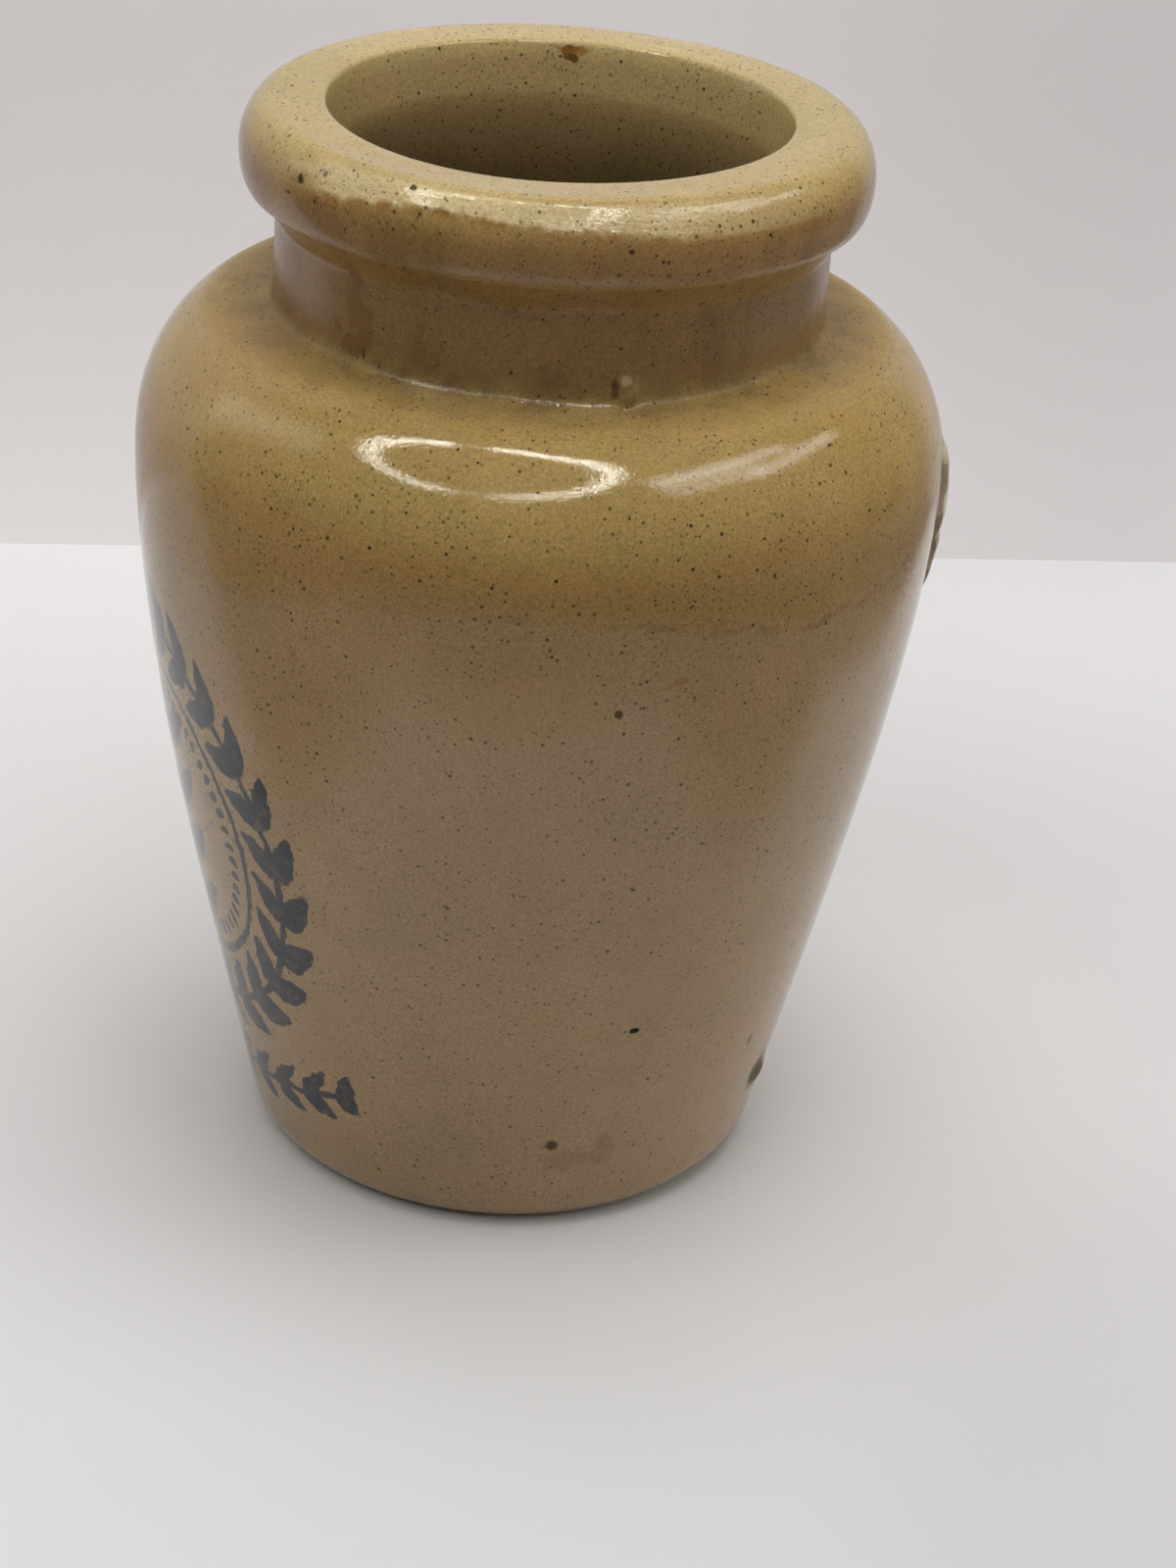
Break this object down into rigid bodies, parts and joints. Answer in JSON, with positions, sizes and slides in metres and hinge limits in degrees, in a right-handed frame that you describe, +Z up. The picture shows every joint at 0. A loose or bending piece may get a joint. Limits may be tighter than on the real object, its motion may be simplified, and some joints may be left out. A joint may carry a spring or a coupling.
{
  "type": "cream pot",
  "caption": "Small open stoneware cream pot with a rolled rim, short neck, round shoulder and a wall tapering to a flat foot.",
  "frame": {"origin": "middle of the flat foot that the pot stands on", "axes": "+Z up along the pot's turning axis, +X towards the kiln scar flake on the shoulder, -X towards the printed side"},
  "size_m": [0.0767, 0.0756, 0.105],
  "materials": {
    "glazed_stoneware": "glossy buff to ochre glaze with fine dark iron specks, a deeper dip on the upper part and a blue-black underglaze print on one side",
    "bare_kiln_clay": "matt grey-brown broken clay"
  },
  "bodies": {
    "root": {"pot_body": "glazed_stoneware", "kiln_scar_flake": "bare_kiln_clay"}
  },
  "joints": []
}
